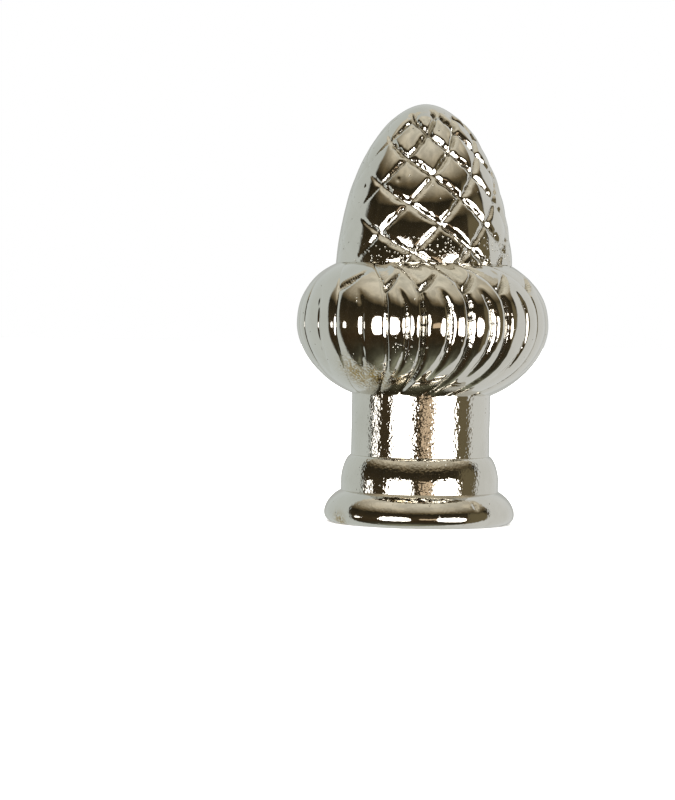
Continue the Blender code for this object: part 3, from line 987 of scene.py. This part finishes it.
def metalMaterial(name, finish, group):
    material = bpy.data.materials.new(name)
    material.use_nodes = True
    tree = material.node_tree
    shader = tree.nodes["Principled BSDF"].inputs
    recess = skinMark(tree, "recess")
    stained = skinMark(tree, "stain")
    pitted = larger(tree, skinMark(tree, "pitted"), stained)
    inputs = {"Vector": addNode(tree, "ShaderNodeTexCoord").outputs["Object"],
              "Grain Size": finish["grainSize"], "Pit Size": finish["pitSize"],
              "Pit Share": ease(tree, pitted, 0.0, 1.0, *finish["pitShare"])}
    skin = addNode(tree, "ShaderNodeGroup", inputs, node_tree=group).outputs

    # grooves and dents darken with tarnish and painted shade; pits and cloudy patches darken with tarnish
    low = ease(tree, recess, *markShows["lowTarnishAndShade"], 0.0, markShows["tarnishAndShadeInLows"])
    dirtAndShade = larger(tree, low, times(tree, skin["Pits"], markShows["dirtInPits"]))
    dirtAndShade = larger(tree, dirtAndShade, times(tree, skin["Cloud"], markShows["dirtInCloud"]))
    patchy = times(tree, stained, ease(tree, skin["Grain"], *markShows["stainGrain"]))
    colour = mixColour(tree, dirtAndShade, finish["colour"], finish["tarnishAndShadeColour"])
    # painted shade: the deepest grooves and dents go near-black
    colour = mixColour(tree, ease(tree, recess, *markShows["paintedHollowShade"]), colour, finish["paintedHollowShade"])
    tree.links.new(mixColour(tree, patchy, colour, finish["stain"]), shader["Base Color"])

    dull = larger(tree, dirtAndShade, patchy)
    rough = ease(tree, dull, 0.0, 1.0, finish["roughness"], finish["dullRoughness"])
    inGroove = ease(tree, recess, *markShows["dull"], 0.0, finish["raggedRoughness"])
    tree.links.new(larger(tree, rough, inGroove), shader["Roughness"])
    shader["Metallic"].default_value = 1.0

    calm, rugged = finish["grainBump"]
    ragged = larger(tree, skinMark(tree, "ragged"), stained)
    inputs = {"Strength": plus(tree, times(tree, ragged, rugged - calm), calm),
              "Distance": markShows["grainDepth"], "Height": skin["Grain"]}
    grain = addNode(tree, "ShaderNodeBump", inputs).outputs["Normal"]
    inputs = {"Strength": finish["pitBump"], "Distance": markShows["pitDepth"],
              "Height": skin["Pits"], "Normal": grain}
    sunken = addNode(tree, "ShaderNodeBump", inputs, invert=True)
    tree.links.new(sunken.outputs["Normal"], shader["Normal"])
    return material


# Studio: directions are an azimuth round from the camera, to the right, and an elevation

softboxes = {
    "left": {"azimuth": (-48.5, -11.0), "elevation": (-24, 9), "strength": 6.0},
    "right": {"azimuth": (22.0, 59.5), "elevation": (-24, 9), "strength": 6.0},
    "strip": {"azimuth": (-82.5, -75.0), "elevation": (-9, 2), "strength": 3.0},
}

room = {
    # elevation in degrees, colour
    "levels": (
        (-90, (0.36, 0.38, 0.33)),
        (-74, (0.28, 0.30, 0.24)),
        (-58, (0.09, 0.09, 0.065)),
        (-44, (0.045, 0.04, 0.025)),
        (-25, (0.045, 0.03, 0.015)),
        (0, (0.06, 0.045, 0.025)),
        (28, (0.03, 0.025, 0.015)),
        (34, (0.17, 0.135, 0.08)),
        (41, (0.38, 0.34, 0.265)),
        (48, (0.60, 0.56, 0.47)),
        (61, (0.78, 0.755, 0.68)),
        (75, (0.76, 0.75, 0.68)),
        (90, (0.68, 0.68, 0.63)),
    ),
    "mottleScale": 3.5,
    "mottle": (0.35, 0.7),
    "mottleTints": ((0.82, 0.8, 0.76, 1), (1.2, 1.16, 1.1, 1)),
    "paper": ((0.66, 0.71, 0.71, 1), (0.78, 0.80, 0.81, 1)),  # left and right
    "paperAcross": (-0.5, 0.6),
    "paperEdge": (-0.04, 0.05),
    "paperLean": (-0.12, 0.30, 0.42),    # below eye level on the left and right, and above it
    "leanAcross": (-0.3, 0.5),
    "leanLevel": (-0.02, 0.02),
    "paperShade": (0.50, 0.51, 0.49, 1),
    "shadeBehind": (0.86, 0.99),
    "fringe": (0.75, 0.42, 0.20, 1),
    "fringeEdge": 0.5,                   # how soft the edges are
    "boxEdge": 0.12,
    "patchEdge": 0.6,
    "corners": 3.5,                      # how square they are
    "seen": (1.0, 1.0, 1.0, 1),          # what the camera sees behind the finial
    "fill": (2.4, 2.4, 2.4, 1),          # what lights the floor
    "glow": {"azimuth": (1, 23), "elevation": (-7, 3), "colour": (0.85, 0.66, 0.47, 1)},
    "side": {"azimuth": (62, 96), "elevation": (-45, 28), "colour": (0.17, 0.14, 0.08, 1)},
}


def window(tree, azimuth, elevation, spec, edge):
    # 1 inside a rounded rectangle of directions, 0 outside
    parts = []
    for value, (low, high) in ((azimuth, spec["azimuth"]), (elevation, spec["elevation"])):
        away = maths(tree, "SUBTRACT", value, radians((low + high) / 2))
        share = maths(tree, "ABSOLUTE", maths(tree, "DIVIDE", away, radians((high - low) / 2)))
        parts.append(maths(tree, "POWER", share, room["corners"]))
    return ease(tree, plus(tree, *parts), 1 - edge, 1 + edge, 1.0, 0.0)


def wallColour(tree, direction, elevation):
    # the room by height, a little cloudy
    level = plus(tree, maths(tree, "DIVIDE", elevation, pi), 0.5)
    ramp = addNode(tree, "ShaderNodeValToRGB", {"Fac": level})
    stops = ramp.color_ramp.elements
    for index, (height, colour) in enumerate(room["levels"]):
        spot = (height + 90) / 180
        stop = stops[index] if index < 2 else stops.new(spot)
        stop.position = spot
        stop.color = (*colour, 1)
    inputs = {"Vector": direction, "Scale": room["mottleScale"], "Detail": 3.0}
    mottle = addNode(tree, "ShaderNodeTexNoise", inputs).outputs["Fac"]
    mottled = mixColour(tree, ease(tree, mottle, *room["mottle"]), *room["mottleTints"])
    return mixColour(tree, 1.0, ramp.outputs["Color"], mottled, blend="MULTIPLY")


def addPaper(tree, colour, x, y, z):
    # pale paper behind the finial, reflected along both of its sides
    paper = mixColour(tree, ease(tree, x, *room["paperAcross"]), *room["paper"])
    paper = mixColour(tree, ease(tree, y, *room["shadeBehind"]), paper, room["paperShade"])
    lowLeft, lowRight, high = room["paperLean"]
    low = ease(tree, x, *room["leanAcross"], lowLeft, lowRight)
    lean = ease(tree, z, *room["leanLevel"], low, high)
    behind = maths(tree, "SUBTRACT", y, times(tree, z, lean))
    return mixColour(tree, ease(tree, behind, *room["paperEdge"]), colour, paper)


def makeWorld():
    world = bpy.data.worlds.new("studio")
    bpy.context.scene.world = world
    world.use_nodes = True
    tree = world.node_tree
    tree.nodes.clear()
    direction = addNode(tree, "ShaderNodeTexCoord").outputs["Generated"]
    x, y, z = addNode(tree, "ShaderNodeSeparateXYZ", {0: direction}).outputs
    azimuth = maths(tree, "ARCTAN2", x, times(tree, y, -1.0))
    elevation = maths(tree, "ARCSINE", z)
    colour = wallColour(tree, direction, elevation)
    for name in ("side", "glow"):
        patch = window(tree, azimuth, elevation, room[name], room["patchEdge"])
        colour = mixColour(tree, patch, colour, room[name]["colour"])
    colour = addPaper(tree, colour, x, y, z)
    for box in softboxes.values():
        fringe = window(tree, azimuth, elevation, box, room["fringeEdge"])
        colour = mixColour(tree, fringe, colour, room["fringe"])
        white = (box["strength"], box["strength"], box["strength"], 1)
        colour = mixColour(tree, window(tree, azimuth, elevation, box, room["boxEdge"]), colour, white)
    rays = addNode(tree, "ShaderNodeLightPath").outputs
    plain = mixColour(tree, rays["Is Diffuse Ray"], room["seen"], room["fill"])
    colour = mixColour(tree, rays["Is Glossy Ray"], plain, colour)
    background = addNode(tree, "ShaderNodeBackground", {"Color": colour, "Strength": 1.0})
    addNode(tree, "ShaderNodeOutputWorld", {"Surface": background.outputs[0]})


paleFloor = {
    "reach": 3.0,
    "colour": (0.95, 0.95, 0.94, 1),
    "roughness": 0.9,
    "specular": 0.1,
}


def makeFloor():
    reach = paleFloor["reach"]
    mesh = bpy.data.meshes.new("floor")
    corners = [(-reach, -reach, 0), (reach, -reach, 0), (reach, reach, 0), (-reach, reach, 0)]
    mesh.from_pydata(corners, [], [(0, 1, 2, 3)])
    floor = bpy.data.objects.new("floor", mesh)
    bpy.context.scene.collection.objects.link(floor)
    material = bpy.data.materials.new("paleFloor")
    material.use_nodes = True
    shader = material.node_tree.nodes["Principled BSDF"].inputs
    shader["Base Color"].default_value = paleFloor["colour"]
    shader["Roughness"].default_value = paleFloor["roughness"]
    shader["Specular IOR Level"].default_value = paleFloor["specular"]
    mesh.materials.append(material)
    floor.visible_glossy = False
    floor.visible_shadow = False
    return floor


cameraSetup = {
    "distance": 0.255,      # from the finial's axis
    "eyeHeight": 0.01945,
    "focal": 112.5,
    "aside": 83.5,          # pixels from the middle of the picture to the axis
    "above": 70,            # pixels from the middle of the picture up to the eye level
    "lean": 1.03,           # degrees that the finial leans to the right
    "pictureHeight": 800,
    "sensor": 36.0,
    "sees": (0.01, 20.0),   # nearest and farthest
}


def makeCamera():
    data = bpy.data.cameras.new("camera")
    data.sensor_width = cameraSetup["sensor"]
    data.lens = cameraSetup["focal"]
    data.clip_start, data.clip_end = cameraSetup["sees"]
    camera = bpy.data.objects.new("camera", data)
    bpy.context.scene.collection.objects.link(camera)
    pixels = cameraSetup["focal"] / cameraSetup["sensor"] * cameraSetup["pictureHeight"]
    yaw = atan(cameraSetup["aside"] / pixels)
    pitch = atan(cameraSetup["above"] / pixels)
    camera.location = (0, -cameraSetup["distance"], cameraSetup["eyeHeight"])
    aim = Euler((pi / 2 - pitch, 0, yaw), "XYZ").to_matrix()
    roll = Euler((0, 0, radians(cameraSetup["lean"])), "XYZ").to_matrix()
    camera.rotation_euler = (aim @ roll).to_euler()
    bpy.context.scene.camera = camera


overheadLight = {
    "size": 1.2,
    "power": 6.0,
    "place": (-0.4, -0.5, 1.2),
    "tilt": 22.0,
    "turn": -40.0,
}


def makeKeyLight():
    data = bpy.data.lights.new("overheadSoftLight", "AREA")
    data.shape = "DISK"
    data.size = overheadLight["size"]
    data.energy = overheadLight["power"]
    light = bpy.data.objects.new("overheadSoftLight", data)
    light.location = overheadLight["place"]
    light.rotation_euler = (radians(overheadLight["tilt"]), 0, radians(overheadLight["turn"]))
    light.visible_glossy = False
    bpy.context.scene.collection.objects.link(light)


makeCamera()
castSkin = castGroup()
nickel = metalMaterial("polishedNickel", nickelFinish, castSkin)
boreMetal = metalMaterial("boreMetal", boreFinish, castSkin)
print("metals ready")
finial = carveFinial(nickel, boreMetal)
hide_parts("finial")
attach(finial, "root")
makeWorld()
makeKeyLight()
makeFloor()
bpy.context.scene.view_settings.view_transform = "Standard"
print("studio ready")
